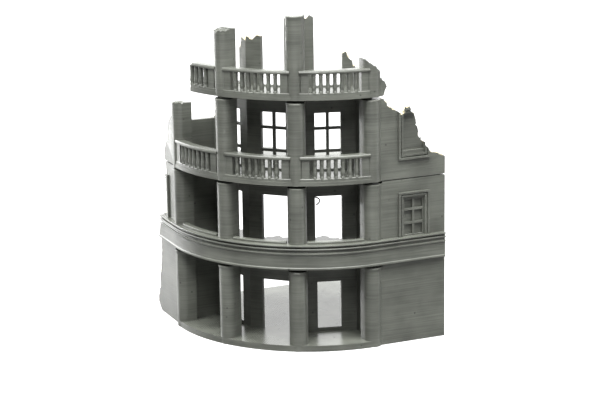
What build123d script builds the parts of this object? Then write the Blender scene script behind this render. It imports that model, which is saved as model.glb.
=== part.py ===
from build123d import *

# Ruined corner building for tabletop battles, about 1:100, printed as four storeys that stack.
#
# The street corner is a quarter circle with a column at each end and two between them, so it has
# three bays. Behind the columns runs a loggia, closed by an inner wall of three flat lengths and by
# a radial partition at each end. A straight street wall leaves each end of the quarter circle.
#
# Frame: the origin is the centre of the quarter circle on the underside of the ground floor slab,
# +Z is up and -Y is the middle of the round front. Bearings are degrees from the front, positive
# towards +X. Each storey is its own body and lifts straight off the one below.

import os
from math import cos, radians, sin, tan

os.makedirs("parts", exist_ok=True)

# Driving dimensions, millimetres and degrees
STOREY = 33.5  # one storey, from underside to underside
FACE = 60.5  # centre of the quarter circle to the round floor edge
WALL_FACE = FACE - 1.2  # centre to the street walls' faces, which the end columns stand out from
WING = 31.0  # how far the right street wall runs past the end of the quarter circle
BAY = 30.0  # bearing between neighbouring columns
CORNER = 1.5 * BAY  # bearing of each end of the quarter circle

WALL = 2.2  # thickness of the street walls
RETURN_DEPTH = 4.2  # depth of the wall's end return, which meets the flat side of a column
RETURN_WIDTH = 1.8
RING = 41.5  # centre to the loggia face of the inner wall
RING_WALL = 2.0  # thickness of the inner walls and the partitions

COLUMN_RADIUS = 3.5  # half round front of a column, and half its width
COLUMN_AXIS = FACE + 0.2 - COLUMN_RADIUS  # centre to the axis of a column's half round
COLUMN_STEM = 3.5  # straight sided back of a column
COLUMN_BACK = COLUMN_AXIS - COLUMN_STEM  # centre to the back of a column

FLOOR_GROUND = 2.5  # slab thickness of the two lower storeys
FLOOR_UPPER = 1.6  # slab thickness of the two upper storeys
WALL_GAP = 0.5  # open seam above the street walls
COLUMN_GAP = 1.1  # open seam above the columns

LIP = 0.25  # how far the squashed last layers of a ground floor column stand out
LIP_HEIGHT = 0.8
TALL = 2 * STOREY  # taller than any storey, for cuts that leave through the top

GROUND = 0.0
FIRST = STOREY
SECOND = 2 * STOREY
THIRD = 3 * STOREY
SIDES = ("left", "middle", "right")
BAY_BEARINGS = {"left": -BAY, "middle": 0.0, "right": BAY}
COLUMN_BEARINGS = (-CORNER, -CORNER + BAY, CORNER - BAY, CORNER)


def plan(height, bearing=0.0):
    """Level plane whose x runs along the front at a bearing and whose y points to the middle."""
    turn = radians(bearing)
    return Plane(origin=(0, 0, height), x_dir=(cos(turn), sin(turn), 0), z_dir=(0, 0, 1))


def elevation(height, bearing, distance):
    """Upright plane facing outwards at a bearing: x runs to the right along the face, y up."""
    turn = radians(bearing)
    outwards = Vector(sin(turn), -cos(turn), 0)
    foot = outwards * distance + Vector(0, 0, height)
    return Plane(origin=foot, x_dir=(cos(turn), sin(turn), 0), z_dir=outwards)


def save(piece, name):
    piece.part.label = name
    export_step(piece.part, f"parts/{name}.step")


# Columns: a half round front on a straight sided back. They stand in notches in the floors' front
# edges. A broken one is cut by an outline that is seen from the street, in millimetres across the
# column and above the storey's underside.


def column_outline(clear=0.0):
    with Locations((0, -COLUMN_AXIS)):
        Circle(COLUMN_RADIUS + clear)
    with Locations((0, -COLUMN_AXIS + COLUMN_STEM / 2)):
        Rectangle(2 * (COLUMN_RADIUS + clear), COLUMN_STEM)


def make_column(name, storey, bearing, foot=0.0, lip=0.0):
    top = STOREY - COLUMN_GAP
    break_line = COLUMN_BREAKS.get(name)
    with BuildPart() as column:
        with BuildSketch(plan(storey + foot, bearing)):
            column_outline()
        extrude(amount=top - foot)
        if lip:
            with BuildSketch(plan(storey + top - LIP_HEIGHT, bearing)):
                column_outline(lip)
            extrude(amount=LIP_HEIGHT)
        if break_line:
            with BuildSketch(elevation(storey, bearing, FACE + 2)):
                with BuildLine():
                    Polyline(break_line, (5, TALL), (-5, TALL), close=True)
                make_face()
            extrude(amount=-2 * COLUMN_STEM - 5, mode=Mode.SUBTRACT)
    save(column, name)


COLUMN_BREAKS = {
    "second_column_1": [(-5, 20.0), (-3.3, 22.0), (-2.5, 25.2), (-1.2, 26.3), (2.2, 26.6), (5, 26.4)],
    "third_column_2": [(-5, 25.1), (-2.1, 25.5), (-0.8, 24.9), (1.3, 25.7), (5, 25.9)],
    "third_column_4": [
        (-5, 15.4),
        (-3.2, 14.6),
        (-1.6, 13.2),
        (-0.4, 12.7),
        (1.2, 11.0),
        (2.2, 10.6),
        (5, 8.0),
    ],
}

for number, bearing in enumerate(COLUMN_BEARINGS, start=1):
    make_column(f"ground_column_{number}", GROUND, bearing, lip=LIP)
    make_column(f"first_column_{number}", FIRST, bearing, foot=FLOOR_GROUND)
    make_column(f"second_column_{number}", SECOND, bearing)
    if number > 1:  # the fourth storey's first column has fallen
        make_column(f"third_column_{number}", THIRD, bearing)


# Inner wall: three flat lengths that meet at the bearings of the columns, each with one opening.
# The second storey's openings are windows with one upright and two level glazing bars. On the
# third storey only piers are left, so the break line there runs down to the window sills.

HALF_LENGTH = RING * tan(radians(BAY / 2))
HALF_LENGTH_BACK = (RING - RING_WALL) * tan(radians(BAY / 2))
BAR = 1.2  # width of a glazing bar
BAR_DEPTH = 0.9
BAR_BACK = 0.5  # how far the bars stand back from the wall's loggia face
LEVEL_BARS = (0.316, 0.722)  # heights of the level bars as shares of the opening's height
THIRD_SILL = 2.1

# Openings are (left, right, sill, head) along a length of wall and above the storey's underside
DOOR = (-5.9, 5.9, FLOOR_GROUND, 23.2)
LOW_WINDOW = (-4.8, 4.8, 3.9, 23.0)
TALL_DOOR = (-5.4, 5.4, FLOOR_GROUND, 24.7)
WINDOW = (-5.2, 5.2, 2.3, 24.8)
LEFT_WIDER = 1.3  # how much further right the left bay's openings run

INNER_WALL_BREAKS = {
    "second_inner_wall_left": [
        (-12, 18.4),
        (-11.1, 18.4),
        (-10.2, 21.0),
        (-8.6, 24.5),
        (-7.1, 27.1),
        (-5.6, 28.2),
        (-4.2, 33.6),
    ],
    "third_inner_wall_left": [
        (-12, 0),
        (-0.6, 0),
        (-0.4, THIRD_SILL),
        (6.8, THIRD_SILL),
        (6.9, 16.1),
        (7.9, 18.0),
        (9.0, 20.2),
        (10.0, 19.6),
        (12, 19.0),
    ],
    "third_inner_wall_middle": [
        (-12, 19.0),
        (-10.5, 21.0),
        (-9.3, 19.6),
        (-8.0, 20.9),
        (-6.2, 21.8),
        (-4.7, 21.2),
        (-4.6, THIRD_SILL),
        (5.0, THIRD_SILL),
        (5.1, 28.6),
        (6.8, 29.6),
        (8.2, 28.7),
        (9.6, 30.2),
        (12, 29.4),
    ],
    "third_inner_wall_right": [
        (-12, 29.4),
        (-9.8, 30.0),
        (-8.3, 28.9),
        (-7.0, 29.6),
        (-5.2, 28.9),
        (-5.1, THIRD_SILL),
        (5.9, THIRD_SILL),
        (6.0, 14.5),
        (6.9, 14.9),
        (7.7, 14.2),
        (8.6, 12.6),
        (9.6, 11.2),
        (10.4, 9.4),
        (12, 9.9),
    ],
}


def make_inner_wall(name, storey, bearing, foot, opening=None, glazed=False):
    break_line = INNER_WALL_BREAKS.get(name)
    with BuildPart() as wall:
        with BuildSketch(plan(storey + foot, bearing)):
            with BuildLine():
                Polyline(
                    (-HALF_LENGTH, -RING),
                    (HALF_LENGTH, -RING),
                    (HALF_LENGTH_BACK, -RING + RING_WALL),
                    (-HALF_LENGTH_BACK, -RING + RING_WALL),
                    close=True,
                )
            make_face()
        extrude(amount=STOREY - foot)
        with BuildSketch(elevation(storey, bearing, RING + 1)):
            if opening:
                left, right, sill, head = opening
                with Locations(((left + right) / 2, (sill + head) / 2)):
                    Rectangle(right - left, head - sill)
            if break_line:
                with BuildLine():
                    Polyline(break_line, (12, TALL), (-12, TALL), close=True)
                make_face()
        extrude(amount=-RING_WALL - 2, mode=Mode.SUBTRACT)
        if glazed:
            rise = head - sill
            with BuildSketch(elevation(storey, bearing, RING - BAR_BACK)):
                with Locations(((left + right) / 2, (sill + head) / 2)):
                    Rectangle(BAR, rise)
                with Locations(*[((left + right) / 2, sill + share * rise) for share in LEVEL_BARS]):
                    Rectangle(right - left, BAR)
            extrude(amount=-BAR_DEPTH)
    save(wall, name)


for side in SIDES:
    bearing = BAY_BEARINGS[side]
    ground_opening = DOOR if side == "middle" else LOW_WINDOW
    openings = (ground_opening, TALL_DOOR, WINDOW)
    if side == "left":
        openings = [(left, right + LEFT_WIDER, sill, head) for left, right, sill, head in openings]
    make_inner_wall(f"ground_inner_wall_{side}", GROUND, bearing, FLOOR_GROUND, openings[0])
    make_inner_wall(f"first_inner_wall_{side}", FIRST, bearing, FLOOR_GROUND, openings[1])
    make_inner_wall(
        f"second_inner_wall_{side}", SECOND, bearing, FLOOR_UPPER, openings[2], glazed=True
    )
    make_inner_wall(f"third_inner_wall_{side}", THIRD, bearing, FLOOR_UPPER)


# Partitions: a short radial wall from each end of the inner wall to the back of the end column.

PARTITION_START = (RING - RING_WALL) / cos(radians(BAY / 2))


def make_partition(name, storey, side, foot, height):
    bearing = CORNER if side == "right" else -CORNER
    outside = RING_WALL / 2 if side == "right" else -RING_WALL / 2
    with BuildPart() as partition:
        with BuildSketch(plan(storey + foot, bearing)):
            with Locations((outside, -(PARTITION_START + COLUMN_BACK) / 2)):
                Rectangle(RING_WALL, COLUMN_BACK - PARTITION_START)
        extrude(amount=height - foot)
    save(partition, name)


LEFT_PARTITION_BREAK = 18.4
THIRD_PARTITION_BREAK = 8.6

for side in ("left", "right"):
    make_partition(f"ground_partition_{side}", GROUND, side, FLOOR_GROUND, STOREY)
    make_partition(f"first_partition_{side}", FIRST, side, FLOOR_GROUND, STOREY)
make_partition("second_partition_left", SECOND, "left", FLOOR_UPPER, LEFT_PARTITION_BREAK)
make_partition("second_partition_right", SECOND, "right", FLOOR_UPPER, STOREY)
make_partition("third_partition_right", THIRD, "right", FLOOR_UPPER, THIRD_PARTITION_BREAK)


# Street walls: a plate, a return that meets the flat side of the end column, and a fillet that
# closes the plate against the column's half round. The
# outline is seen from the street, from the end of the quarter circle and the storey's underside.

TRIM_HALF = 6.8  # outside of the blind window's trim
TRIM_HEAD = 27.9
RECESS_HALF = 4.4
RECESS_HEAD = 25.0
RECESS_DEPTH = 1.2
WALL_TOP = STOREY - WALL_GAP
CORNICE_TOP = 10.05
WINDOW_MIDDLES = {"left": -16.8, "right": 17.2}
FILLET_NEAR = 2.6  # from the column's middle to where the fillet meets its half round
FILLET_DEPTH = WALL_FACE - COLUMN_AXIS
LARGE = 100.0  # reaches past the building, for cuts


def side_bearing(side):
    return CORNER if side == "right" else -CORNER


def make_street_wall(name, storey, side, outline, recess_sill=None):
    bearing = side_bearing(side)
    outwards = 1 if side == "right" else -1
    near = outline[0][0]
    plate_only = near + outwards * RETURN_WIDTH
    fillet_foot = FLOOR_GROUND if storey == FIRST else 0.0
    fillet_top = min(outline[-1][1], STOREY - COLUMN_GAP)
    with BuildPart() as wall:
        with BuildSketch(elevation(storey, bearing, WALL_FACE)):
            with BuildLine():
                Polyline(outline, close=True)
            make_face()
        extrude(amount=-RETURN_DEPTH)
        with BuildSketch(elevation(storey, bearing, WALL_FACE - WALL)):
            with Locations((plate_only + outwards * LARGE / 2, 0)):
                Rectangle(LARGE, LARGE)
        extrude(amount=-RETURN_DEPTH, mode=Mode.SUBTRACT)
        with BuildSketch(elevation(storey, bearing, WALL_FACE)):
            with Locations(((near + outwards * FILLET_NEAR) / 2, (fillet_foot + fillet_top) / 2)):
                Rectangle(abs(near) - FILLET_NEAR, fillet_top - fillet_foot)
        extrude(amount=-FILLET_DEPTH)
        with BuildSketch(plan(storey, bearing)):
            column_outline()
        extrude(amount=STOREY, mode=Mode.SUBTRACT)
        with BuildSketch(plan(storey + STOREY - COLUMN_GAP - LIP_HEIGHT, bearing)):
            column_outline(LIP if storey == GROUND else 0.0)
        extrude(amount=LIP_HEIGHT, mode=Mode.SUBTRACT)
        if recess_sill is not None:
            with BuildSketch(elevation(storey, bearing, WALL_FACE)):
                with Locations((WINDOW_MIDDLES[side], (recess_sill + RECESS_HEAD) / 2)):
                    Rectangle(2 * RECESS_HALF, RECESS_HEAD - recess_sill)
            extrude(amount=-RECESS_DEPTH, mode=Mode.SUBTRACT)
    save(wall, name)


SECOND_SILL = 11.0
GROUND_NEAR = COLUMN_RADIUS + LIP
GROUND_LEFT = [
    (-GROUND_NEAR, 0),
    (-23.1, 0),
    (-25.6, 1.6),
    (-27.4, 3.4),
    (-26.3, 6.4),
    (-24.1, 11.2),
    (-23.8, 15.8),
    (-21.9, 21.0),
    (-21.5, 26.5),
    (-21.7, WALL_TOP),
    (-GROUND_NEAR, WALL_TOP),
]
GROUND_RIGHT = [(GROUND_NEAR, 0), (WING, 0), (WING, WALL_TOP), (GROUND_NEAR, WALL_TOP)]
FIRST_LEFT = [
    (-COLUMN_RADIUS, 0),
    (-20.4, 0),
    (-19.1, 4.6),
    (-17.4, CORNICE_TOP),
    (-13.4, 10.6),
    (-13.1, 16.0),
    (-13.4, 22.4),
    (-12.8, 28.0),
    (-13.0, WALL_TOP),
    (-COLUMN_RADIUS, WALL_TOP),
]
FIRST_RIGHT = [(COLUMN_RADIUS, 0), (WING, 0), (WING, WALL_TOP), (COLUMN_RADIUS, WALL_TOP)]
SECOND_LEFT = [
    (-COLUMN_RADIUS, 0),
    (-13.9, 0),
    (-14.4, 2.4),
    (-13.9, 5.4),
    (-12.1, 7.9),
    (-10.8, 9.4),
    (-10.1, 12.4),
    (-9.1, 15.2),
    (-8.1, 17.6),
    (-COLUMN_RADIUS, 20.6),
]
SECOND_RIGHT = [
    (COLUMN_RADIUS, 0),
    (WING, 0),
    (WING, 6.9),
    (28.4, 8.3),
    (27.0, 9.0),
    (25.4, 8.7),
    (24.0, 9.7),
    (22.9, 11.9),
    (22.2, 10.6),
    (21.9, 13.5),
    (20.7, 14.8),
    (20.0, 15.3),
    (19.4, 19.2),
    (18.5, 22.2),
    (17.7, 25.2),
    (16.0, 26.3),
    (15.2, 28.7),
    (14.0, 28.4),
    (13.2, 26.0),
    (11.9, 24.9),
    (10.7, 26.5),
    (8.4, 27.6),
    (6.4, 29.1),
    (5.5, 30.9),
    (4.1, 32.2),
    (COLUMN_RADIUS, 32.4),
]
THIRD_RIGHT = [(COLUMN_RADIUS, 0), (4.3, 1.0), (5.1, 2.5), (5.6, 3.7), (4.4, 5.8), (COLUMN_RADIUS, 7.0)]

make_street_wall("ground_wall_left", GROUND, "left", GROUND_LEFT)
make_street_wall("ground_wall_right", GROUND, "right", GROUND_RIGHT)
make_street_wall("first_wall_left", FIRST, "left", FIRST_LEFT)
make_street_wall("first_wall_right", FIRST, "right", FIRST_RIGHT, recess_sill=CORNICE_TOP)
make_street_wall("second_wall_left", SECOND, "left", SECOND_LEFT)
make_street_wall("second_wall_right", SECOND, "right", SECOND_RIGHT, recess_sill=SECOND_SILL)
make_street_wall("third_wall_right", THIRD, "right", THIRD_RIGHT)


# Blind window trim: a flat band round the recess that carries a bold outer moulding and a finer
# inner one. The glazing is a grid of two by three panes set back in the recess.

OUTER_MOULDING = 0.9
INNER_MOULDING = 0.75
MOULDING_GROOVE = 0.45
BAND_PROUD = 0.2
INNER_PROUD = 0.6
OUTER_PROUD = 0.9
GLAZING_BORDER = 0.5
GLAZING_BAR = 1.0
GLAZING_FRONT = 0.3  # how far the bars stand back from the wall face
PANE_BARS = (15.1, 20.6)  # heights of the level bars


def make_trim(name, storey, side, sill_drop, sill, outline):
    """The trim's rings, which end where the wall behind them is broken off."""
    inset = OUTER_MOULDING + MOULDING_GROOVE
    rings = (
        (BAND_PROUD, 0, inset + INNER_MOULDING),
        (OUTER_PROUD, 0, OUTER_MOULDING),
        (INNER_PROUD, inset, INNER_MOULDING),
    )
    with BuildPart() as trim:
        for proud, start, width in rings:
            half = TRIM_HALF - start
            top = TRIM_HEAD - start
            low = sill - sill_drop + start if sill_drop else sill
            inner_low = low + width if sill_drop else sill
            with BuildSketch(elevation(storey, side_bearing(side), WALL_FACE)):
                with BuildLine():
                    Polyline(outline, close=True)
                make_face()
                with Locations((WINDOW_MIDDLES[side], (low + top) / 2)):
                    Rectangle(2 * half, top - low, mode=Mode.INTERSECT)
                with Locations((WINDOW_MIDDLES[side], (inner_low + top - width) / 2)):
                    Rectangle(2 * (half - width), top - width - inner_low, mode=Mode.SUBTRACT)
            extrude(amount=proud)
    save(trim, name)


SILL_DROP = 3.6  # the upper trim closes under its sill
make_trim("first_trim_left", FIRST, "left", 0, CORNICE_TOP, FIRST_LEFT)
make_trim("first_trim_right", FIRST, "right", 0, CORNICE_TOP, FIRST_RIGHT)
make_trim("second_trim_right", SECOND, "right", SILL_DROP, SECOND_SILL, SECOND_RIGHT)

with BuildPart() as glazing:
    with BuildSketch(elevation(FIRST, CORNER, WALL_FACE - RECESS_DEPTH)):
        with Locations((WINDOW_MIDDLES["right"], (CORNICE_TOP + RECESS_HEAD) / 2)):
            Rectangle(2 * RECESS_HALF, RECESS_HEAD - CORNICE_TOP)
            Rectangle(
                2 * (RECESS_HALF - GLAZING_BORDER),
                RECESS_HEAD - CORNICE_TOP - 2 * GLAZING_BORDER,
                mode=Mode.SUBTRACT,
            )
            Rectangle(GLAZING_BAR, RECESS_HEAD - CORNICE_TOP)
        with Locations(*[(WINDOW_MIDDLES["right"], height) for height in PANE_BARS]):
            Rectangle(2 * RECESS_HALF, GLAZING_BAR)
    extrude(amount=RECESS_DEPTH - GLAZING_FRONT)
save(glazing, "first_glazing_right")


# Cornice: the first storey's parapet. Its mouldings run along both wings and round the corner,
# and the columns' feet stand in notches in its back.

PARAPET_BACK = 57.0
FASCIA = 61.0
LIP_LOW = 61.3
LIP_TOP = 61.75
MOULDINGS = [
    (LIP_LOW, 0.0),
    (LIP_LOW, 0.8),
    (FASCIA, 1.0),
    (FASCIA, 6.1),
    (61.45, 6.3),
    (61.45, 6.8),
    (60.95, 7.1),
    (60.95, 7.7),
    (61.6, 8.1),
    (61.6, 8.6),
    (FASCIA, 8.8),
    (FASCIA, 9.25),
    (LIP_TOP, 9.5),
    (LIP_TOP, CORNICE_TOP),
]
CORNICE_RIGHT = WING - 0.6  # length of the right run
CORNICE_LEFT_TOP = 16.2  # where the left run is broken off, at its top and at its foot
CORNICE_LEFT_FOOT = 19.2


def radial(bearing, storey):
    """Upright plane through the middle: x runs outwards at a bearing, y up."""
    turn = radians(bearing)
    return Plane(
        origin=(0, 0, storey),
        x_dir=(sin(turn), -cos(turn), 0),
        z_dir=(-cos(turn), -sin(turn), 0),
    )


with BuildPart() as cornice:
    with BuildSketch(radial(-CORNER, FIRST)):
        with BuildLine():
            Polyline(*MOULDINGS, (PARAPET_BACK, CORNICE_TOP), (PARAPET_BACK, 0), close=True)
        make_face()
    revolve(axis=Axis.Z, revolution_arc=2 * CORNER)
    with BuildSketch(radial(CORNER, FIRST)):
        with BuildLine():
            Polyline(*MOULDINGS, (WALL_FACE, CORNICE_TOP), (WALL_FACE, 0), close=True)
        make_face()
    extrude(amount=-CORNICE_RIGHT)
    with BuildSketch(radial(-CORNER, FIRST)):
        with BuildLine():
            Polyline(*MOULDINGS, (WALL_FACE, CORNICE_TOP), (WALL_FACE, 0), close=True)
        make_face()
    extrude(amount=CORNICE_LEFT_FOOT)
    with BuildSketch(elevation(FIRST, -CORNER, LARGE)):
        with BuildLine():
            Polyline(
                (-CORNICE_LEFT_FOOT, 0),
                (-CORNICE_LEFT_FOOT + 1.1, 4.0),
                (-CORNICE_LEFT_FOOT + 0.7, 6.2),
                (-CORNICE_LEFT_TOP, CORNICE_TOP),
                (-LARGE, CORNICE_TOP),
                (-LARGE, 0),
                close=True,
            )
        make_face()
    extrude(amount=-LARGE, mode=Mode.SUBTRACT)
    for bearing in COLUMN_BEARINGS:
        with BuildSketch(plan(FIRST + FLOOR_GROUND, bearing)):
            column_outline()
        extrude(amount=STOREY, mode=Mode.SUBTRACT)
save(cornice, "first_cornice")

SILL_FRONT = 59.3
SILL_HEIGHT = 0.85
SILL_HALF = BAY / 2 - 4.0  # half the bearing that a sill spans

with BuildPart() as sills:
    for bearing in BAY_BEARINGS.values():
        with BuildSketch(radial(bearing - SILL_HALF, FIRST)):
            with Locations(((PARAPET_BACK + SILL_FRONT) / 2, CORNICE_TOP + SILL_HEIGHT / 2)):
                Rectangle(SILL_FRONT - PARAPET_BACK, SILL_HEIGHT)
        revolve(axis=Axis.Z, revolution_arc=2 * SILL_HALF)
save(sills, "first_bay_sills")


# Floors: thin slabs with a round front edge and broken rear edges. The lower three are drawn on
# axes that lie along the street walls: x along the right one and y back along the left one.

BEHIND_WALL = WALL_FACE - WALL
BEHIND_RETURN = WALL_FACE - RETURN_DEPTH

# Rear edges, from the right street wall round to the left one
GROUND_REAR = [
    (WING, 26),
    (-30, 26),
    (-38, 23.5),
    (-46, 24),
    (-52, 20.5),
    (-BEHIND_WALL, 19.6),
]
FIRST_REAR = [
    (WING, -27.5),
    (27, -25),
    (22, -27),
    (17, -24.5),
    (11, -26.8),
    (6, -25),
    (1.2, -27.1),
    (-2.1, -23.2),
    (-3.5, -18.7),
    (-7.4, -20.4),
    (-12.5, -18),
    (-18.5, -14.9),
    (-20.2, -14.1),
    (-19.8, -11.5),
    (-26, -10.6),
    (-29, -5),
    (-27.5, 1),
    (-31, 6),
    (-36, 8.5),
    (-44, 11),
    (-50, 9.8),
    (-BEHIND_WALL, 12.5),
]
SECOND_REAR = [
    (WING, -22),
    (25, -19),
    (19, -20.5),
    (13, -15),
    (6.6, -12),
    (2, -9.5),
    (-2.8, -8.5),
    (-8, -4.5),
    (-13.1, -1.8),
    (-12, 4.9),
    (-13.5, 6.7),
    (-14.2, 10.1),
    (-16.8, 10.5),
    (-24, 8),
    (-31, 9),
    (-38, 6.5),
    (-46, 9),
    (-52, 7.5),
    (-BEHIND_WALL, 9.5),
]


def make_floor(name, storey, thickness, near, rear, front=FACE):
    """near is how far from the ends of the quarter circle the street walls start."""
    turned = near + RETURN_WIDTH
    middle = front * cos(radians(CORNER))
    with BuildPart() as floor:
        with BuildSketch(plan(storey, CORNER)):
            with BuildLine():
                ThreePointArc((0, -front), (-middle, -middle), (-front, 0))
                Polyline(
                    (-front, 0),
                    (-COLUMN_BACK, 0),
                    (-COLUMN_BACK, near),
                    (-BEHIND_RETURN, near),
                    (-BEHIND_RETURN, turned),
                    (-BEHIND_WALL, turned),
                    *reversed(rear),
                    (WING, -BEHIND_WALL),
                    (turned, -BEHIND_WALL),
                    (turned, -BEHIND_RETURN),
                    (near, -BEHIND_RETURN),
                    (near, -COLUMN_BACK),
                    (0, -COLUMN_BACK),
                    (0, -front),
                )
            make_face()
        extrude(amount=thickness)
        if front == FACE:
            for bearing in COLUMN_BEARINGS:
                with BuildSketch(plan(storey, bearing)):
                    column_outline()
                extrude(amount=thickness, mode=Mode.SUBTRACT)
    save(floor, name)


make_floor("ground_floor", GROUND, FLOOR_GROUND, GROUND_NEAR, GROUND_REAR)
make_floor("first_floor", FIRST, FLOOR_GROUND, COLUMN_RADIUS, FIRST_REAR, front=PARAPET_BACK)
make_floor("second_floor", SECOND, FLOOR_UPPER, COLUMN_RADIUS, SECOND_REAR)


def polar(bearing, radius, along=0.0):
    """Point at a bearing and a radius, then moved along the tangent there."""
    turn = radians(bearing)
    return (radius * sin(turn) + along * cos(turn), along * sin(turn) - radius * cos(turn))


# The top floor ends at the back of the inner wall and just past the left bay's middle
LEFT_END = -BAY - 0.15  # bearing of its broken left end on the front edge
INNER_CORNER = (RING - RING_WALL) / cos(radians(BAY / 2))

with BuildPart() as third_floor:
    with BuildSketch(plan(THIRD)):
        with BuildLine():
            ThreePointArc(polar(LEFT_END, FACE), polar(0, FACE), polar(CORNER, FACE))
            Polyline(
                polar(CORNER, FACE),
                polar(CORNER, COLUMN_BACK),
                polar(CORNER, COLUMN_BACK, 3.3),
                polar(CORNER, 52, 3.2),
                polar(CORNER, 47, 2.6),
                polar(CORNER, 43, 3.0),
                polar(CORNER, INNER_CORNER, RING_WALL),
                polar(CORNER, INNER_CORNER),
                polar(BAY / 2, INNER_CORNER),
                polar(-BAY / 2, INNER_CORNER),
                polar(-BAY, RING - RING_WALL, -1.2),
                polar(-33, 44),
                polar(-30.5, 50),
                polar(-31.5, 55),
                polar(LEFT_END, FACE),
            )
        make_face()
    extrude(amount=FLOOR_UPPER)
    for bearing in COLUMN_BEARINGS[1:]:
        with BuildSketch(plan(THIRD, bearing)):
            column_outline()
        extrude(amount=FLOOR_UPPER, mode=Mode.SUBTRACT)
save(third_floor, "third_floor")


# Balustrades: one for each bay of the two upper storeys, from column to column. Each has a plinth,
# a thick top rail, seven balusters and a square block at each end.

PLINTH_INNER = 58.4
PLINTH_OUTER = 60.3
PLINTH_TOP = 2.8
RAIL_INNER = 57.0
RAIL_OUTER = 60.6
RAIL_UNDER = 10.2
RAIL_TOP = 11.5
RAIL_HALF = 13.2  # bearing from the middle of the bay to the rail's ends
BALUSTER_RING = 59.3
BALUSTER_PITCH = 2.62  # bearing between neighbouring balusters
BALUSTERS = 7
BALUSTER_WIDTH = 1.35
BALUSTER_DEPTH = 1.6
BELLY_WIDTH = 1.6  # the lower part of a baluster is a little fuller
BELLY_TOP = 5.6
BLOCK_BEARING = 11.2
BLOCK_WIDTH = 2.9
COLUMN_CLEARANCE = 0.05
RAIL_BREAK = 1.1  # where the broken rail starts, as a bearing from the middle of its bay


def make_balustrade(name, storey, bearing, missing=0):
    """missing is how many balusters have gone from the left end."""
    count = BALUSTERS - missing
    first = (missing - (BALUSTERS - 1) / 2) * BALUSTER_PITCH
    last = (BALUSTERS - 1) / 2 * BALUSTER_PITCH
    blocks = (-BLOCK_BEARING, BLOCK_BEARING)
    rail_start = -RAIL_HALF
    plinth_start = -RAIL_HALF
    if missing:
        blocks = (BLOCK_BEARING,)
        rail_start = RAIL_BREAK
        plinth_start = first + LEFT_END + BAY
    with BuildPart() as balustrade:
        with BuildSketch(radial(bearing + plinth_start, storey)):
            with Locations(((PLINTH_INNER + PLINTH_OUTER) / 2, (FLOOR_UPPER + PLINTH_TOP) / 2)):
                Rectangle(PLINTH_OUTER - PLINTH_INNER, PLINTH_TOP - FLOOR_UPPER)
        revolve(axis=Axis.Z, revolution_arc=RAIL_HALF - plinth_start)
        with BuildSketch(radial(bearing + rail_start, storey)):
            with Locations(((RAIL_INNER + RAIL_OUTER) / 2, (RAIL_UNDER + RAIL_TOP) / 2)):
                Rectangle(RAIL_OUTER - RAIL_INNER, RAIL_TOP - RAIL_UNDER)
        revolve(axis=Axis.Z, revolution_arc=RAIL_HALF - rail_start)
        for width, top in ((BELLY_WIDTH, BELLY_TOP), (BALUSTER_WIDTH, RAIL_UNDER)):
            with BuildSketch(plan(storey + PLINTH_TOP, bearing)):
                with PolarLocations(BALUSTER_RING, count, first - 90, last - first, endpoint=True):
                    Rectangle(BALUSTER_DEPTH, width)
            extrude(amount=top - PLINTH_TOP)
        for side in blocks:
            with BuildSketch(plan(storey + PLINTH_TOP, bearing + side)):
                with Locations((0, -BALUSTER_RING)):
                    Rectangle(BLOCK_WIDTH, BALUSTER_DEPTH)
            extrude(amount=RAIL_UNDER - PLINTH_TOP)
        for side in (-BAY / 2, BAY / 2):
            with BuildSketch(plan(storey, bearing + side)):
                column_outline(COLUMN_CLEARANCE)
            extrude(amount=STOREY, mode=Mode.SUBTRACT)
    save(balustrade, name)


for side in SIDES:
    make_balustrade(f"second_balustrade_{side}", SECOND, BAY_BEARINGS[side])
make_balustrade("third_balustrade_left", THIRD, -BAY, missing=3)
make_balustrade("third_balustrade_middle", THIRD, 0)
make_balustrade("third_balustrade_right", THIRD, BAY)
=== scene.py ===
import random
from math import cos, hypot, pi, radians, sin

import bmesh
import bpy
from mathutils import Matrix, Vector, noise


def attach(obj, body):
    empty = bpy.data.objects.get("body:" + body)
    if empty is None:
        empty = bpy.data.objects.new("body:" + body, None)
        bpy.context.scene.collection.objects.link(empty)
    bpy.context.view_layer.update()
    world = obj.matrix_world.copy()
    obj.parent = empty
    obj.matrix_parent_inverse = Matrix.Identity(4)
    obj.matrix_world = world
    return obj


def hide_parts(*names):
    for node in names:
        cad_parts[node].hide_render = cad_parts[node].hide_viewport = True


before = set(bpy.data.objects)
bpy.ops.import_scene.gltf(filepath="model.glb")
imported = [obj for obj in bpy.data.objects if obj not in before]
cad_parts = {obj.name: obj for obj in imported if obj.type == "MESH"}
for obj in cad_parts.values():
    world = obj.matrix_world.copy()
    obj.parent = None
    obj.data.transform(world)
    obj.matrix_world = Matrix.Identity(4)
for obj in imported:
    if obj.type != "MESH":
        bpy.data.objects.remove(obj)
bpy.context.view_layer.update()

# ---- Camera -----------------------------------------------------------------------------------
# A long lens 0.83 m from the building, 21 degrees round to the right of its front and looking
# 14 degrees down, turned by under a degree about its own axis.
CAMERA_PLACE = (0.289498, -0.754765, 0.252529)
CAMERA_TOWARD = Vector((-0.35260, 0.90252, -0.24724))
CAMERA_ROLL = -0.83
camera_data = bpy.data.cameras.new("camera")
camera_data.sensor_width = 36.0
camera_data.lens = 120.19
camera_data.clip_start = 0.05
camera_data.clip_end = 20.0
camera = bpy.data.objects.new("camera", camera_data)
camera.matrix_world = (
    Matrix.Translation(CAMERA_PLACE)
    @ CAMERA_TOWARD.to_track_quat("-Z", "Y").to_matrix().to_4x4()
    @ Matrix.Rotation(radians(CAMERA_ROLL), 4, "Z")
)
bpy.context.scene.collection.objects.link(camera)
bpy.context.scene.camera = camera
bpy.context.scene.view_settings.view_transform = "Standard"

# ---- Studio -----------------------------------------------------------------------------------
# A table and a backdrop that look white but throw little light back, so the rooms stay dark. Soft
# boxes stand at the left, behind, above the front and low at the right, and a strip over the camera.


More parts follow.
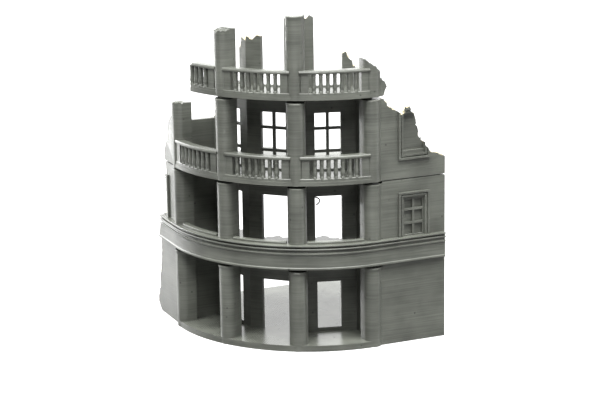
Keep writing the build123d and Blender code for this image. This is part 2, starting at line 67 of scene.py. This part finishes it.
def linear(colour):
    """An sRGB hex colour as linear red, green, blue and alpha."""
    channels = [int(colour[i : i + 2], 16) / 255 for i in (1, 3, 5)]
    return [c / 12.92 if c <= 0.04045 else ((c + 0.055) / 1.055) ** 2.4 for c in channels] + [1.0]


def add_node(tree, kind, inputs, **settings):
    """Adds a shader node, with values or links on its inputs."""
    node = tree.nodes.new(kind)
    for key, value in settings.items():
        setattr(node, key, value)
    for key, value in inputs.items():
        if isinstance(value, bpy.types.NodeSocket):
            tree.links.new(value, node.inputs[key])
        else:
            node.inputs[key].default_value = value
    return node


ROOM_GLOW = 0.02  # light that the white room gives to the building
BACKDROP_GLOW = 1.1  # and what the camera sees of it

world = bpy.data.worlds.new("white_room")
bpy.context.scene.world = world
world.use_nodes = True
tree = world.node_tree
tree.nodes.clear()
seen = add_node(tree, "ShaderNodeLightPath", {}).outputs["Is Camera Ray"]
white = linear("#ffffff")
walls = add_node(tree, "ShaderNodeBackground", {"Color": white, "Strength": ROOM_GLOW})
backdrop = add_node(tree, "ShaderNodeBackground", {"Color": white, "Strength": BACKDROP_GLOW})
mix = add_node(tree, "ShaderNodeMixShader", {0: seen, 1: walls.outputs[0], 2: backdrop.outputs[0]})
add_node(tree, "ShaderNodeOutputWorld", {"Surface": mix.outputs[0]})

TABLE_HALF = 3.0
bm = bmesh.new()
bmesh.ops.create_grid(bm, x_segments=1, y_segments=1, size=TABLE_HALF)
table_mesh = bpy.data.meshes.new("table_top")
bm.to_mesh(table_mesh)
bm.free()
table_top = bpy.data.objects.new("table_top", table_mesh)
bpy.context.scene.collection.objects.link(table_top)
table_paint = bpy.data.materials.new("white_laminate")
table_paint.use_nodes = True
laminate = table_paint.node_tree.nodes["Principled BSDF"]
# the sheet is grey to other rays, and glows white only for the camera
laminate.inputs["Base Color"].default_value = linear("#6e6e6e")
laminate.inputs["Roughness"].default_value = 0.6
laminate.inputs["Emission Color"].default_value = white
seen = add_node(table_paint.node_tree, "ShaderNodeLightPath", {}).outputs["Is Camera Ray"]
table_paint.node_tree.links.new(seen, laminate.inputs["Emission Strength"])
table_mesh.materials.append(table_paint)

HEART = Vector((0, -0.03, 0.06))  # what the soft boxes point at


def soft_box(name, bearing, elevation, distance, width, height, watts):
    """Bearing is in degrees from the front towards the right, as for the building. The distance
    and sizes are in metres."""
    turn = radians(bearing)
    tilt = radians(elevation)
    away = Vector((sin(turn) * cos(tilt), -cos(turn) * cos(tilt), sin(tilt)))
    data = bpy.data.lights.new(name, "AREA")
    data.shape = "RECTANGLE"
    data.size = width
    data.size_y = height
    data.energy = watts
    box = bpy.data.objects.new(name, data)
    box.matrix_world = Matrix.Translation(HEART + away * distance) @ (
        away.to_track_quat("Z", "Y").to_matrix().to_4x4()
    )
    box.visible_camera = False
    bpy.context.scene.collection.objects.link(box)


soft_box("left_box", -112, 14, 1.0, 0.8, 0.8, 29)
soft_box("rear_box", 175, 28, 1.3, 1.8, 1.0, 14)
soft_box("front_left_box", -20, 67, 1.0, 0.5, 0.5, 23)
soft_box("front_right_box", 65, 65, 1.0, 0.5, 0.5, 21)
soft_box("right_box", 103, 14, 1.1, 0.3, 0.8, 5)
soft_box("camera_strip", 21, 46, 1.0, 0.15, 0.5, 6)

# ---- Floors -----------------------------------------------------------------------------------
# Each storey is one print in grey PLA filament, laid down in layers 0.2 mm high, and its floor is
# the first 8 to 13 of them. The rear edges are modelled as torn, so they are rough all through.

MM = 0.001
STOREY = 33.5
CORNER = 45.0  # bearing of each end of the quarter circle
STOREYS = ("ground", "first", "second", "third")
RASTER_SHARE = 0.25  # relief of the raster, as a share of the layers'
BANDS_PER_SCALE = 0.314  # a wave along an axis has this pitch when its scale is 1
DIAGONAL_PER_SCALE = 0.444  # and a diagonal one has this, seen on a level face


def printed_pla(name, colour):
    """Fused filament PLA: a satin grey with level streaks, a raster on level faces and pits, with
    painted shade in the pits and a painted glow on torn faces.
    """
    material = bpy.data.materials.new(name)
    material.use_nodes = True
    tree = material.node_tree
    shader = tree.nodes["Principled BSDF"]
    place = add_node(tree, "ShaderNodeTexCoord", {}).outputs["Object"]

    # layer streaks: 0.2 mm layers are finer than a view shows, so they are drawn 0.5 mm high,
    # and each keeps its tone for about 25 mm along the wall
    layered = add_node(
        tree, "ShaderNodeMapping", {"Vector": place, "Scale": (1 / 0.025, 1 / 0.025, 1 / 0.0005)}
    )
    streak = add_node(
        tree,
        "ShaderNodeTexNoise",
        {"Vector": layered.outputs[0], "Scale": 1.0, "Detail": 3.0, "Roughness": 0.6},
    ).outputs["Fac"]
    # rounded sides of the layers, drawn 0.4 mm high; they stretch each sheen up and down
    rounds = add_node(
        tree,
        "ShaderNodeTexWave",
        {"Vector": place, "Scale": BANDS_PER_SCALE / 0.0004, "Distortion": 0.0},
        wave_type="BANDS",
        bands_direction="Z",
    ).outputs["Fac"]
    layers = add_node(
        tree, "ShaderNodeMath", {0: streak, 1: rounds}, operation="ADD"
    ).outputs[0]
    # cloudy tone over about 12 mm, as the plastic cools unevenly
    cloud = add_node(
        tree, "ShaderNodeTexNoise", {"Vector": place, "Scale": 1 / 0.012, "Detail": 2.0}
    ).outputs["Fac"]
    tone = add_node(
        tree, "ShaderNodeMath", {0: streak, 1: cloud}, operation="ADD"
    ).outputs[0]
    shade = add_node(
        tree,
        "ShaderNodeMapRange",
        {"Value": tone, "From Min": 0.6, "From Max": 1.4, "To Min": 0.56, "To Max": 1.40},
    ).outputs[0]

    # pits where the nozzle started a bead: 0.4 mm across and about 6 mm apart; their colour is
    # darkened as painted shade in the hollows, and the bump sinks them
    cells = add_node(
        tree, "ShaderNodeTexVoronoi", {"Vector": place, "Scale": 1 / 0.006}, feature="F1"
    ).outputs["Distance"]
    pit = add_node(
        tree,
        "ShaderNodeMapRange",
        {"Value": cells, "From Min": 0.05, "From Max": 0.085, "To Min": 1.0, "To Max": 0.0},
    ).outputs[0]
    # painted shade: the colour in each pit is darkened to 0.45 of the rest
    pit_painted_shade = add_node(
        tree,
        "ShaderNodeMapRange",
        {"Value": pit, "To Min": 1.0, "To Max": 0.45},
    ).outputs[0]
    value = add_node(
        tree, "ShaderNodeMath", {0: shade, 1: pit_painted_shade}, operation="MULTIPLY"
    ).outputs[0]
    tint = add_node(
        tree, "ShaderNodeMix", {0: 1.0, 6: linear(colour), 7: value}, data_type="RGBA",
        blend_type="MULTIPLY",
    )
    # torn faces take a lighter, warm colour: a painted glow that stands in for light coming through
    # the thin plastic at the breaks
    torn = add_node(tree, "ShaderNodeAttribute", {}, attribute_name="torn").outputs["Fac"]
    torn_painted_glow = add_node(
        tree, "ShaderNodeMix", {0: torn, 6: tint.outputs[2], 7: linear("#a39a7e")}, data_type="RGBA"
    )
    # painted light: the glow colour replaces the base colour on the torn faces
    tree.links.new(torn_painted_glow.outputs[2], shader.inputs["Base Color"])

    # level faces show the raster of their last layer, 0.4 mm beads drawn 0.9 mm apart
    facing = add_node(tree, "ShaderNodeNewGeometry", {}).outputs["Normal"]
    upward = add_node(tree, "ShaderNodeSeparateXYZ", {"Vector": facing}).outputs["Z"]
    level = add_node(
        tree, "ShaderNodeMath", {0: upward, 1: 0.9}, operation="GREATER_THAN"
    ).outputs[0]
    raster = add_node(
        tree,
        "ShaderNodeTexWave",
        {"Vector": place, "Scale": DIAGONAL_PER_SCALE / 0.0009, "Distortion": 0.6, "Detail": 1.0},
        wave_type="BANDS",
        bands_direction="DIAGONAL",
    ).outputs["Fac"]
    raster = add_node(
        tree, "ShaderNodeMath", {0: raster, 1: RASTER_SHARE}, operation="MULTIPLY"
    ).outputs[0]
    relief = add_node(
        tree, "ShaderNodeMix", {0: level, 2: layers, 3: raster}, data_type="FLOAT"
    ).outputs[0]
    height = add_node(
        tree, "ShaderNodeMath", {0: relief, 1: pit}, operation="SUBTRACT"
    ).outputs[0]
    bump = add_node(
        tree, "ShaderNodeBump", {"Height": height, "Strength": 1.0, "Distance": 0.00005}
    )
    tree.links.new(bump.outputs[0], shader.inputs["Normal"])
    gloss = add_node(
        tree,
        "ShaderNodeMapRange",
        {"Value": streak, "From Min": 0.3, "From Max": 0.7, "To Min": 0.30, "To Max": 0.46},
    ).outputs[0]
    smooth = add_node(
        tree, "ShaderNodeMix", {0: level, 2: gloss, 3: 0.26}, data_type="FLOAT"
    ).outputs[0]
    tree.links.new(smooth, shader.inputs["Roughness"])
    shader.inputs["IOR"].default_value = 1.46
    return material


grey_print = printed_pla("grey_pla_print", "#4e504a")


def merged_copy(node):
    """The CAD node's shape with its doubles merged and its flat faces whole."""
    shape = bmesh.new()
    shape.from_mesh(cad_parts[node].data)
    bmesh.ops.remove_doubles(shape, verts=shape.verts, dist=0.002 * MM)
    bmesh.ops.dissolve_limit(
        shape, angle_limit=radians(0.5), verts=shape.verts, edges=shape.edges
    )
    return shape


def unique(items):
    """The items once each, in their order, so that every run makes the same mesh."""
    return list(dict.fromkeys(items))


CLUMP = 1.3  # mm across a broken clump of beads
GRAIN = 0.6  # across the finer roughness on it
WANDER = 3.5  # and across the slow waves of the whole edge


def tear(shape, plate_normal, is_torn, pitch=0.7, depth=0.58):
    """Makes the torn faces rough. The plate's two flat sides stay flat. Lengths are in mm."""
    mark = shape.faces.layers.int.new("torn")
    for face in shape.faces:
        if is_torn(face.calc_center_median() / MM, face.normal):
            face[mark] = 1
    for _ in range(7):
        torn = [face for face in shape.faces if face[mark]]
        edges = unique(edge for face in torn for edge in face.edges)
        long_edges = [edge for edge in edges if edge.calc_length() > 1.5 * pitch * MM]
        if not long_edges:
            break
        bmesh.ops.subdivide_edges(shape, edges=long_edges, cuts=1, use_grid_fill=True)
    for vert in shape.verts:
        faces = vert.link_faces
        if not any(face[mark] for face in faces):
            continue
        plain = [face for face in faces if not face[mark]]
        flat = [face for face in plain if abs(face.normal.dot(plate_normal)) > 0.9]
        if len(flat) < len(plain):
            continue
        push = noise.cell_vector(vert.co / (CLUMP * MM)) * 2 - Vector((1, 1, 1))
        push = push * 0.8 * depth * MM
        push += noise.noise_vector(vert.co / (GRAIN * MM)) * 0.7 * depth * MM
        push += noise.noise_vector(vert.co / (WANDER * MM)) * depth * MM
        if flat:
            push -= plate_normal * push.dot(plate_normal)
        vert.co += push


def soften(shape, radius=0.12):
    """Rounds the edges that aren't torn, as the nozzle does."""
    mark = shape.faces.layers.int.get("torn")
    edges = []
    for edge in shape.edges:
        if len(edge.link_faces) != 2 or edge.calc_face_angle() < radians(35):
            continue
        if mark and any(face[mark] for face in edge.link_faces):
            continue
        edges.append(edge)
    bmesh.ops.bevel(
        shape,
        geom=edges,
        offset=radius * MM,
        offset_type="OFFSET",
        segments=2,
        profile=0.5,
        affect="EDGES",
        material=-1,
        clamp_overlap=True,
    )


def make_piece(name, shape, storey, *nodes, smooth_below=12):
    """Turns a bmesh in metres into a printed piece of that storey that stands for CAD nodes.
    Faces that meet at fewer degrees than smooth_below are shaded as one."""
    mesh = bpy.data.meshes.new(name)
    if not shape.faces.layers.int.get("torn"):
        shape.faces.layers.int.new("torn")
    shape.to_mesh(mesh)
    shape.free()
    mesh.shade_smooth()
    mesh.set_sharp_from_angle(angle=radians(smooth_below))
    mesh.materials.append(grey_print)
    piece = bpy.data.objects.new(name, mesh)
    bpy.context.scene.collection.objects.link(piece)
    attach(piece, f"{storey}_storey")
    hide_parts(*nodes)


def axis_aligned(normal):
    """True for a face that runs along or across a street wall."""
    along = Vector((cos(radians(CORNER)), sin(radians(CORNER)), 0))
    across = Vector((-along.y, along.x, 0))
    return max(abs(normal.dot(along)), abs(normal.dot(across))) > 0.995


FRONT_END = -39.5  # the floors are torn only behind this y, mm
TOP_FLOOR_INNER = 41.3  # the top floor is torn only outside its inner wall
TOP_FLOOR_OUTER = 60.0


def floor_torn(centre, normal):
    return abs(normal.z) < 0.1 and centre.y > FRONT_END and not axis_aligned(normal)


def top_floor_torn(centre, normal):
    inside = TOP_FLOOR_INNER < hypot(centre.x, centre.y) < TOP_FLOOR_OUTER
    return abs(normal.z) < 0.1 and inside and not axis_aligned(normal)


for storey in STOREYS:
    name = f"{storey}_floor"
    shape = merged_copy(name)
    tear(shape, Vector((0, 0, 1)), top_floor_torn if storey == "third" else floor_torn)
    soften(shape)
    make_piece(f"{name}_print", shape, storey, name)

# ---- Inner walls and partitions ----------------------------------------------------------------
# The wall behind the columns is three flat lengths, each with a doorway or a window, and a short
# partition ties each end of it to a column. They are printed in one with the floor.

SIDES = {"left": -30.0, "middle": 0.0, "right": 30.0}


def outwards(bearing):
    turn = radians(bearing)
    return Vector((sin(turn), -cos(turn), 0))


def wall_torn(bearing):
    """Torn faces of an upright wall are those that are neither level nor upright."""
    normal_out = outwards(bearing)

    def is_torn(centre, normal):
        return abs(normal.dot(normal_out)) < 0.2 and 0.03 < abs(normal.z) < 0.997

    return is_torn


for storey in STOREYS:
    for side, bearing in SIDES.items():
        name = f"{storey}_inner_wall_{side}"
        shape = merged_copy(name)
        tear(shape, outwards(bearing), wall_torn(bearing))
        soften(shape)
        make_piece(f"{name}_print", shape, storey, name)
    for side in ("left", "right"):
        name = f"{storey}_partition_{side}"
        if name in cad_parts:
            shape = merged_copy(name)
            soften(shape)
            make_piece(f"{name}_print", shape, storey, name)

# ---- Street walls ------------------------------------------------------------------------------
# A plate in each street face, with a return that meets the end column. The left ones and the
# upper right ones are ruined, so their outer ends and tops are torn.

for storey in STOREYS:
    for side, bearing in (("left", -CORNER), ("right", CORNER)):
        name = f"{storey}_wall_{side}"
        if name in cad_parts:
            shape = merged_copy(name)
            tear(shape, outwards(bearing), wall_torn(bearing))
            soften(shape)
            make_piece(f"{name}_print", shape, storey, name)

# ---- Window trims and glazing ------------------------------------------------------------------
# Raised mouldings round the blind windows in the street walls, and a grid of bars in the one that
# is whole. They are printed flat against the wall.

for name in ("first_trim_left", "first_trim_right", "second_trim_right", "first_glazing_right"):
    shape = merged_copy(name)
    soften(shape, 0.15)
    make_piece(f"{name}_print", shape, name.split("_")[0], name)

# ---- Columns -----------------------------------------------------------------------------------
# A half round front on a straight back, printed upright, so each layer sits a few hundredths of a
# millimetre out of line. The seam where every layer starts is a lumpy line down one side.

FACE = 60.5  # mm from the centre of the quarter circle to the floors' round edges
WALL_FACE = 59.3  # and to the street walls' faces
COLUMN_RADIUS = 3.5
COLUMN_AXIS = FACE + 0.2 - COLUMN_RADIUS
COLUMN_BACK = COLUMN_AXIS - 3.5
COLUMN_STEPS = 20  # facets in the half round
COLUMN_TOP = 32.4
COURSE = 0.7  # height of one ring of the mesh
RING_ERROR = 0.006  # how far a ring's size is out, as a share of it
SQUASH = {"ground": 0.07, "first": 0.035, "second": 0.035, "third": 0.035}  # of the last layers
SEAM_PLACES = (-2.9, 1.2)  # across the column, mm
SEAM_HALF = 0.3
SEAM_LUMP = 0.13
BREAK_GRAIN = 1.1  # mm across a tooth of a broken top
BREAK_HEIGHT = 0.9  # and how far it rises or falls
RIM = 0.25  # rounding of a whole top
COLUMN_BEARINGS = (-45.0, -15.0, 15.0, 45.0)
COLUMN_FEET = {"ground": 0.0, "first": 2.5, "second": 0.0, "third": 0.0}
BROKEN_TOPS = {  # across the column and up from the storey's underside
    "second_column_1": [(-3.6, 20.5), (-3.3, 22.0), (-2.5, 25.2), (-1.2, 26.3), (3.6, 26.4)],
    "third_column_2": [(-3.6, 25.3), (-2.1, 25.5), (-0.8, 24.9), (1.3, 25.7), (3.6, 25.8)],
    "third_column_4": [(-3.6, 15.0), (-1.6, 13.2), (-0.4, 12.7), (1.2, 11.0), (3.6, 9.3)],
}


def stand(shape, bearing, height):
    """Moves a shape in mm, drawn with x along the front and y inwards, to its place in metres."""
    placed = (
        Matrix.Scale(MM, 4)
        @ Matrix.Translation((0, 0, height))
        @ Matrix.Rotation(radians(bearing), 4, "Z")
    )
    bmesh.ops.transform(shape, matrix=placed, verts=shape.verts)
    bmesh.ops.recalc_face_normals(shape, faces=shape.faces)


def height_at(line, x):
    """Height of a broken line at x, from its points from left to right."""
    for (x0, z0), (x1, z1) in zip(line, line[1:]):
        if x <= x1:
            return z0 + (z1 - z0) * (max(x, x0) - x0) / (x1 - x0)
    return line[-1][1]


def next_ring(shape, ring):
    """Extrudes a ring of edges in place and gives the new ring."""
    made = bmesh.ops.extrude_edge_only(shape, edges=ring)["geom"]
    fresh = [item for item in made if isinstance(item, bmesh.types.BMVert)]
    known = set(fresh)
    edges = [e for vert in fresh for e in vert.link_edges if known.issuperset(e.verts)]
    return unique(edges), fresh


def column(name, storey, bearing):
    chance = random.Random(name)
    broken = BROKEN_TOPS.get(name)
    foot = COLUMN_FEET[storey]
    top = min(z for _, z in broken) - 0.5 if broken else COLUMN_TOP
    shape = bmesh.new()
    start = shape.verts.new((COLUMN_RADIUS, -COLUMN_AXIS, foot))
    axis = Vector((0, -COLUMN_AXIS, 0))
    bmesh.ops.spin(shape, geom=[start], cent=axis, axis=(0, 0, 1), angle=-pi, steps=COLUMN_STEPS)
    front = sorted(shape.verts, key=lambda v: v.co.x)
    back = [shape.verts.new((x, -COLUMN_BACK, foot)) for x in (-COLUMN_RADIUS, COLUMN_RADIUS)]
    shape.edges.new((front[0], back[0]))
    shape.edges.new(back)
    shape.edges.new((back[1], front[-1]))
    ring = shape.edges[:]
    bmesh.ops.contextual_create(shape, geom=ring)

    rings = round((top - foot) / COURSE)
    size = 1.0
    for count in range(1, rings + 1):
        ring, fresh = next_ring(shape, ring)
        wanted = 1.0 + chance.uniform(-RING_ERROR, RING_ERROR)
        if not broken and count >= rings - 1:
            wanted += SQUASH[storey]
        bmesh.ops.translate(shape, verts=fresh, vec=(0, 0, (top - foot) / rings))
        for vert in fresh:
            vert.co.xy = axis.xy + (vert.co.xy - axis.xy) * (wanted / size)
        size = wanted

    seam_at = chance.choice(SEAM_PLACES)
    for vert in shape.verts:
        if vert.co.y < -COLUMN_AXIS and abs(vert.co.x - seam_at) < SEAM_HALF:
            away = Vector((vert.co.x, vert.co.y + COLUMN_AXIS, 0)).normalized()
            vert.co += away * chance.uniform(0, SEAM_LUMP)

    if broken:
        ring, fresh = next_ring(shape, ring)
        bmesh.ops.translate(shape, verts=fresh, vec=(0, 0, COURSE))
        cap = bmesh.ops.contextual_create(shape, geom=ring)["faces"][0]
        torn = bmesh.ops.poke(shape, faces=[cap])["faces"]
        spokes = [e for e in unique(e for face in torn for e in face.edges) if e not in ring]
        bmesh.ops.subdivide_edges(shape, edges=spokes, cuts=4)
        for vert in shape.verts:
            if vert.co.z > top + COURSE / 2:
                spot = Vector((vert.co.x, vert.co.y, bearing)) / BREAK_GRAIN
                vert.co.z = height_at(broken, vert.co.x) + noise.noise(spot) * BREAK_HEIGHT
    else:
        cap = bmesh.ops.contextual_create(shape, geom=ring)["faces"][0]
        bmesh.ops.bevel(
            shape,
            geom=cap.edges[:],
            offset=RIM,
            offset_type="OFFSET",
            segments=2,
            profile=0.5,
            affect="EDGES",
            material=-1,
        )
    stand(shape, bearing, STOREY * STOREYS.index(storey))
    make_piece(f"{name}_print", shape, storey, name)


for storey in STOREYS:
    for number, bearing in enumerate(COLUMN_BEARINGS, start=1):
        name = f"{storey}_column_{number}"
        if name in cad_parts:
            column(name, storey, bearing)

# ---- Cornice and sills -------------------------------------------------------------------------
# The parapet of the first storey, with bands of mouldings that run round the corner and along both
# street walls. On top of it each bay has a low sill. The left end is torn off at a slant.

PARAPET_BACK = 57.0
CORNICE_TOP = 10.05
CORNICE_STEPS = 60
RIGHT_RUN = 30.4
LEFT_RUN = 20.5  # before its end is torn off
LEFT_FOOT = 19.2  # the tear at the foot, along the wall
TEAR_LEAN = 3.0  # and how much nearer the corner it is at the top
FIRST = STOREY
MOULDINGS = [  # from the foot up, radius and height
    (61.3, 0.0),
    (61.3, 0.7),
    (61.0, 1.0),
    (61.0, 6.0),
    (61.45, 6.3),
    (61.45, 6.75),
    (60.8, 7.05),
    (60.8, 7.7),
    (61.6, 8.1),
    (61.6, 8.55),
    (60.8, 8.85),
    (60.8, 9.25),
    (61.75, 9.5),
    (61.75, 9.9),
    (61.6, CORNICE_TOP),
]


def run_on(shape, ring, bearing, length):
    """Carries the outer part of the round cornice straight on along a street wall."""
    outer = [edge for edge in ring if all(v.co.xy.length > WALL_FACE - 0.01 for v in edge.verts)]
    corners = unique(v for e in outer for v in e.verts)
    ends = [v for v in corners if abs(v.co.xy.length - WALL_FACE) < 0.01]
    inner = [edge for edge in ring if edge not in outer]
    closing = shape.edges.new(ends)
    bmesh.ops.contextual_create(shape, geom=inner + [closing])
    ring, fresh = next_ring(shape, outer + [closing])
    turn = radians(bearing)
    bmesh.ops.translate(shape, verts=fresh, vec=Vector((cos(turn), sin(turn), 0)) * length)
    bmesh.ops.contextual_create(shape, geom=ring)


shape = bmesh.new()
profile = MOULDINGS + [
    (WALL_FACE, CORNICE_TOP),
    (PARAPET_BACK, CORNICE_TOP),
    (PARAPET_BACK, 0.0),
    (WALL_FACE, 0.0),
]
points = [shape.verts.new(outwards(-CORNER) * r + Vector((0, 0, z))) for r, z in profile]
first_ring = [shape.edges.new(pair) for pair in zip(points, points[1:] + points[:1])]
spun = bmesh.ops.spin(
    shape,
    geom=first_ring,
    cent=(0, 0, 0),
    axis=(0, 0, 1),
    angle=radians(2 * CORNER),
    steps=CORNICE_STEPS,
)
last_ring = [item for item in spun["geom_last"] if isinstance(item, bmesh.types.BMEdge)]
run_on(shape, first_ring, -CORNER, -LEFT_RUN)
run_on(shape, last_ring, CORNER, RIGHT_RUN)
bmesh.ops.recalc_face_normals(shape, faces=shape.faces)
turn = radians(-CORNER)
along = Vector((cos(turn), sin(turn), 0))
lean = (along * TEAR_LEAN + Vector((0, 0, CORNICE_TOP))).normalized()
cut_normal = outwards(-CORNER).cross(lean)
if cut_normal.dot(along) > 0:
    cut_normal.negate()
cut = bmesh.ops.bisect_plane(
    shape,
    geom=shape.verts[:] + shape.edges[:] + shape.faces[:],
    plane_co=outwards(-CORNER) * FACE - along * LEFT_FOOT,
    plane_no=cut_normal,
    clear_outer=True,
)["geom_cut"]
bmesh.ops.contextual_create(shape, geom=[g for g in cut if isinstance(g, bmesh.types.BMEdge)])
stand(shape, 0, FIRST)
soften(shape, 0.1)
make_piece("first_cornice_print", shape, "first", "first_cornice")

SILL_INNER = 57.0
SILL_OUTER = 59.3
SILL_TOP = 10.9
SILL_CHAMFER = 0.2
SILL_HALF = 11.0


def sweep_round(shape, profile, start, end, step=1.5):
    """Spins a closed profile of radius and height from one bearing to another, with its ends."""
    points = [shape.verts.new(outwards(start) * r + Vector((0, 0, z))) for r, z in profile]
    ring = [shape.edges.new(pair) for pair in zip(points, points[1:] + points[:1])]
    spun = bmesh.ops.spin(
        shape,
        geom=ring,
        cent=(0, 0, 0),
        axis=(0, 0, 1),
        angle=radians(end - start),
        steps=max(2, round((end - start) / step)),
    )
    last = [item for item in spun["geom_last"] if isinstance(item, bmesh.types.BMEdge)]
    bmesh.ops.contextual_create(shape, geom=ring)
    bmesh.ops.contextual_create(shape, geom=last)


shape = bmesh.new()
sill = [
    (SILL_INNER, CORNICE_TOP),
    (SILL_OUTER, CORNICE_TOP),
    (SILL_OUTER, SILL_TOP - SILL_CHAMFER),
    (SILL_OUTER - SILL_CHAMFER, SILL_TOP),
    (SILL_INNER, SILL_TOP),
]
for bearing in SIDES.values():
    sweep_round(shape, sill, bearing - SILL_HALF, bearing + SILL_HALF)
stand(shape, 0, FIRST)
soften(shape, 0.15)
make_piece("first_bay_sills_print", shape, "first", "first_bay_sills")

# ---- Balustrades -------------------------------------------------------------------------------
# Each bay of the two upper storeys has a plinth, seven turned balusters between square end blocks,
# and a thick rail with a rounded nose. The left one of the top storey has lost its left end, with
# three balusters. They are turned in shape only, as all of it is one print with the floor.

PLINTH_TOP = 2.8
RAIL_UNDER = 10.2
RAIL_TOP = 11.5
RAIL_HALF = 13.2  # bearing from the middle of a bay to the ends of its rail
BALUSTER_RING = 59.3
BALUSTER_PITCH = 2.62
BALUSTERS = 7
BALUSTER_SHIFT = 0.07  # how far one may be out of its place, mm
SUNK = 0.3  # how far its ends run into the plinth and the rail
BALUSTER_STEPS = 12
BALUSTER_DEEPER = 1.35  # the balusters are deeper than they are wide
BLOCK_BEARING = 11.2
BLOCK = (2.9, 1.6)
LOST = {"third_balustrade_left": 3}  # balusters that have gone from the left end
BROKEN_RAIL = 1.1  # bearing of the broken end of that one's rail
BROKEN_PLINTH = 0.15  # how far its plinth runs past its first baluster
PLINTH = [(58.4, 1.5), (60.3, 1.5), (60.3, 2.6), (60.1, PLINTH_TOP), (58.4, PLINTH_TOP)]
RAIL = [
    (57.0, RAIL_UNDER),
    (60.25, RAIL_UNDER),
    (60.55, 10.4),
    (60.6, 10.8),
    (60.55, 11.2),
    (60.25, RAIL_TOP),
    (57.25, RAIL_TOP),
    (57.0, 11.25),
]
BALUSTER = [  # half width and height of the turned outline
    (0.0, PLINTH_TOP - SUNK),
    (0.86, PLINTH_TOP - SUNK),
    (0.86, 3.4),
    (0.72, 3.7),
    (0.92, 4.6),
    (0.86, 5.4),
    (0.76, 6.6),
    (0.74, 8.4),
    (0.84, 8.8),
    (0.72, 9.2),
    (0.84, 9.6),
    (0.84, RAIL_UNDER + SUNK),
    (0.0, RAIL_UNDER + SUNK),
]


def turned(shape, outline, steps):
    """Spins an outline of radius and height about the z axis, and closes it."""
    points = [shape.verts.new((r, 0, z)) for r, z in outline]
    line = [shape.edges.new(pair) for pair in zip(points, points[1:])]
    bmesh.ops.spin(
        shape, geom=line, cent=(0, 0, 0), axis=(0, 0, 1), angle=2 * pi, steps=steps, use_merge=True
    )
    bmesh.ops.remove_doubles(shape, verts=shape.verts, dist=1e-4)


def on_ring(shape, verts, bearing):
    """Moves verts drawn at the origin out to the balusters' line."""
    placed = Matrix.Rotation(radians(bearing), 4, "Z") @ Matrix.Translation((0, -BALUSTER_RING, 0))
    bmesh.ops.transform(shape, matrix=placed, verts=verts)


baluster = bmesh.new()
turned(baluster, BALUSTER, BALUSTER_STEPS)
baluster_mesh = bpy.data.meshes.new("baluster")
baluster.to_mesh(baluster_mesh)
baluster.free()

for storey in ("second", "third"):
    for side, bearing in SIDES.items():
        name = f"{storey}_balustrade_{side}"
        lost = LOST.get(name, 0)
        chance = random.Random(name)
        shape = bmesh.new()
        bearings = [(i - BALUSTERS // 2) * BALUSTER_PITCH for i in range(lost, BALUSTERS)]
        for place in bearings:
            before = len(shape.verts)
            shape.from_mesh(baluster_mesh)
            shape.verts.ensure_lookup_table()
            fresh = shape.verts[before:]
            bmesh.ops.scale(shape, verts=fresh, vec=(1.0, BALUSTER_DEEPER, 1.0))
            shift = chance.uniform(-BALUSTER_SHIFT, BALUSTER_SHIFT)
            bmesh.ops.translate(shape, verts=fresh, vec=(shift, 0, 0))
            on_ring(shape, fresh, place)
        for place in (-BLOCK_BEARING, BLOCK_BEARING)[1 if lost else 0 :]:
            rise = RAIL_UNDER - PLINTH_TOP + 0.4
            block = bmesh.ops.create_cube(shape, size=1.0)["verts"]
            bmesh.ops.scale(shape, verts=block, vec=(BLOCK[0], BLOCK[1], rise))
            bmesh.ops.translate(shape, verts=block, vec=(0, 0, (RAIL_UNDER + PLINTH_TOP) / 2))
            on_ring(shape, block, place)
        sweep_round(shape, PLINTH, bearings[0] - BROKEN_PLINTH if lost else -RAIL_HALF, RAIL_HALF)
        sweep_round(shape, RAIL, BROKEN_RAIL if lost else -RAIL_HALF, RAIL_HALF)
        stand(shape, bearing, STOREY * STOREYS.index(storey))
        make_piece(f"{name}_print", shape, storey, name, smooth_below=40)

# ---- Loose filament ----------------------------------------------------------------------------
# A curl of filament that the nozzle left at the corner of a doorway. It is fused to the print at
# its upper end and hangs free.

# along the wall from the middle of the doorway, and up from the storey's underside, mm
CURL = [(-5.5, 24.6), (-4.1, 24.2), (-3.4, 23.2), (-3.9, 22.0), (-5.0, 21.3)]
CURL_RADIUS = 0.26
CURL_RING = 41.6  # mm from the centre, just in front of the inner wall
curl_data = bpy.data.curves.new("filament_curl", "CURVE")
curl_data.dimensions = "3D"
curl_data.bevel_depth = CURL_RADIUS * MM
curl_data.bevel_resolution = 3
strand = curl_data.splines.new("NURBS")
strand.points.add(len(CURL) - 1)
turn = radians(SIDES["right"])
for point, (s, z) in zip(strand.points, CURL):
    spot = outwards(SIDES["right"]) * CURL_RING + Vector((cos(turn), sin(turn), 0)) * s
    point.co = (spot.x * MM, spot.y * MM, (FIRST + z) * MM, 1.0)
strand.order_u = 3
strand.use_endpoint_u = True
curl = bpy.data.objects.new("first_filament_curl", curl_data)
curl_mesh = bpy.data.meshes.new_from_object(curl)
bpy.data.objects.remove(curl)
curl_mesh.materials.clear()
curl_mesh.materials.append(grey_print)
curl_piece = bpy.data.objects.new("first_filament_curl", curl_mesh)
bpy.context.scene.collection.objects.link(curl_piece)
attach(curl_piece, "first_storey")
